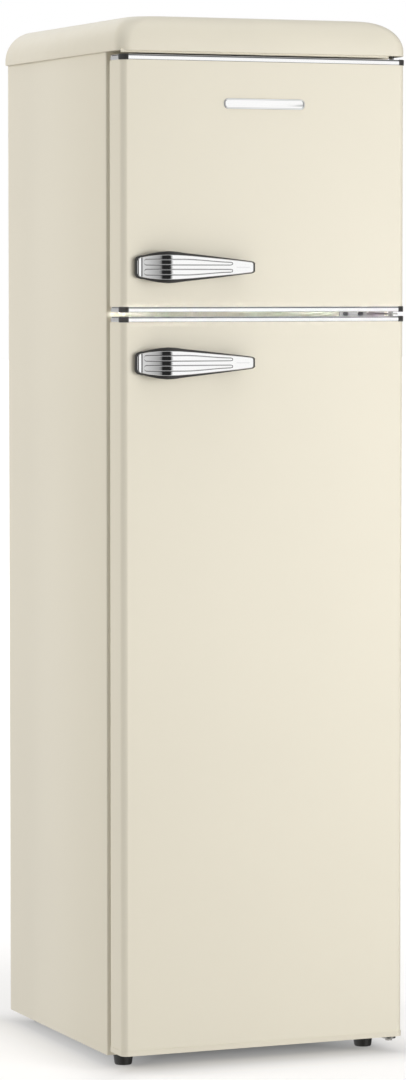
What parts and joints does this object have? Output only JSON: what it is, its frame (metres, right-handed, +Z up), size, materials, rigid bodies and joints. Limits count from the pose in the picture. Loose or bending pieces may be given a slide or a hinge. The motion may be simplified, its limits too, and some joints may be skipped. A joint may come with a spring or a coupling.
{
  "type": "two door refrigerator freezer",
  "caption": "Tall cream retro top-freezer refrigerator with chrome trim strips and teardrop handles, shown closed.",
  "frame": {"origin": "on the floor, in the middle of the whole object's box", "axes": "+X to the viewer's right, -Y out of the door fronts, +Z up"},
  "size_m": [0.53, 0.629, 1.771],
  "materials": {
    "cream_enamel": "gloss",
    "cream_plastic": "satin",
    "chrome": "polished",
    "white_plastic": "satin",
    "clear_plastic": "gloss",
    "shelf_glass": "polished",
    "lamp_glass": "polished",
    "foam": "matte",
    "galvanised": "satin",
    "zinc_steel": "satin",
    "aluminium": "satin",
    "white_wire": "gloss",
    "black_enamel": "satin",
    "black_rubber": "matte",
    "black_plastic": "matte",
    "copper": "satin",
    "gasket_rubber": "matte"
  },
  "bodies": {
    "cabinet": {"cabinet_shell": "cream_enamel", "back_panel": "galvanised", "base_pan": "galvanised", "insulation_foam": "foam", "freezer_liner": "white_plastic", "fridge_liner": "white_plastic", "mullion_rail": "cream_enamel", "top_hood": "cream_plastic", "top_hinge": "zinc_steel", "middle_hinge": "zinc_steel", "bottom_hinge": "zinc_steel", "hinge_screws": "zinc_steel", "evaporator_plates": "aluminium", "freezer_rack": "white_wire", "ice_tray": "white_plastic", "glass_shelf_1": "shelf_glass", "glass_shelf_2": "shelf_glass", "glass_shelf_3": "shelf_glass", "crisper_cover": "shelf_glass", "shelf_trims": "white_plastic", "lamp_housing": "white_plastic", "lamp_bulb": "lamp_glass", "lamp_cover": "clear_plastic", "switch_body": "white_plastic", "compressor": "black_enamel", "compressor_mounts": "black_rubber", "relay_box": "black_plastic", "refrigerant_pipes": "copper", "drip_tray": "black_plastic", "condenser": "black_enamel", "cord_gland": "black_rubber"},
    "freezer_door": {"freezer_door_panel": "cream_enamel", "freezer_door_liner": "white_plastic", "freezer_door_foam": "foam", "freezer_gasket": "gasket_rubber", "freezer_door_caps": "cream_plastic", "freezer_strips": "chrome", "freezer_handle": "chrome", "freezer_handle_base": "black_plastic", "freezer_door_bins": "clear_plastic", "badge": "chrome"},
    "fridge_door": {"fridge_door_panel": "cream_enamel", "fridge_door_liner": "white_plastic", "fridge_door_foam": "foam", "fridge_gasket": "gasket_rubber", "fridge_door_caps": "cream_plastic", "fridge_strip": "chrome", "fridge_handle": "chrome", "fridge_handle_base": "black_plastic", "dairy_bin": "white_plastic", "door_bins": "clear_plastic"},
    "flap": {"dairy_flap": "clear_plastic"},
    "retainer": {"bottle_retainer": "white_plastic"},
    "knob": {"thermostat_knob": "white_plastic"},
    "plunger": {"switch_plunger": "white_plastic"},
    "crisper_drawer": {"crisper": "clear_plastic"},
    "left_foot": {"foot_left": "black_plastic"},
    "right_foot": {"foot_right": "black_plastic"},
    "left_roller": {"roller_left": "black_plastic"},
    "right_roller": {"roller_right": "black_plastic"}
  },
  "joints": [
    {"name": "freezer_door_swing", "type": "hinge", "parent": "cabinet", "child": "freezer_door", "pos_m": [0.246, -0.2485, 1.491], "axis": [0, 0, 1], "range_deg": [0, 120]},
    {"name": "fridge_door_swing", "type": "hinge", "parent": "cabinet", "child": "fridge_door", "pos_m": [0.246, -0.2485, 0.65], "axis": [0, 0, 1], "range_deg": [0, 120]},
    {"name": "dairy_flap_lift", "type": "hinge", "parent": "fridge_door", "child": "flap", "pos_m": [0, -0.1235, 1.18], "axis": [1, 0, 0], "range_deg": [0, 95]},
    {"name": "bottle_retainer_slide", "type": "slide", "parent": "fridge_door", "child": "retainer", "axis": [1, 0, 0], "range_m": [-0.14, 0.14]},
    {"name": "thermostat_turn", "type": "hinge", "parent": "cabinet", "child": "knob", "pos_m": [0.056, 0.0085, 1.219], "axis": [0, -1, 0], "range_deg": [0, 270]},
    {"name": "switch_press", "type": "slide", "parent": "cabinet", "child": "plunger", "axis": [0, -1, 0], "range_m": [0, 0.006]},
    {"name": "crisper_slide", "type": "slide", "parent": "cabinet", "child": "crisper_drawer", "axis": [0, -1, 0], "range_m": [0, 0.07]},
    {"name": "left_foot_screw", "type": "slide", "parent": "cabinet", "child": "left_foot", "axis": [0, 0, 1], "range_m": [-0.012, 0]},
    {"name": "right_foot_screw", "type": "slide", "parent": "cabinet", "child": "right_foot", "axis": [0, 0, 1], "range_m": [-0.012, 0]},
    {"name": "left_roller_spin", "type": "hinge", "parent": "cabinet", "child": "left_roller", "pos_m": [-0.215, 0.2485, 0.012], "axis": [1, 0, 0], "continuous": true},
    {"name": "right_roller_spin", "type": "hinge", "parent": "cabinet", "child": "right_roller", "pos_m": [0.215, 0.2485, 0.012], "axis": [1, 0, 0], "continuous": true}
  ],
  "couplings": [
    {"joint": "switch_press", "follows": "fridge_door_swing", "m_per_rad": 0.0028}
  ]
}
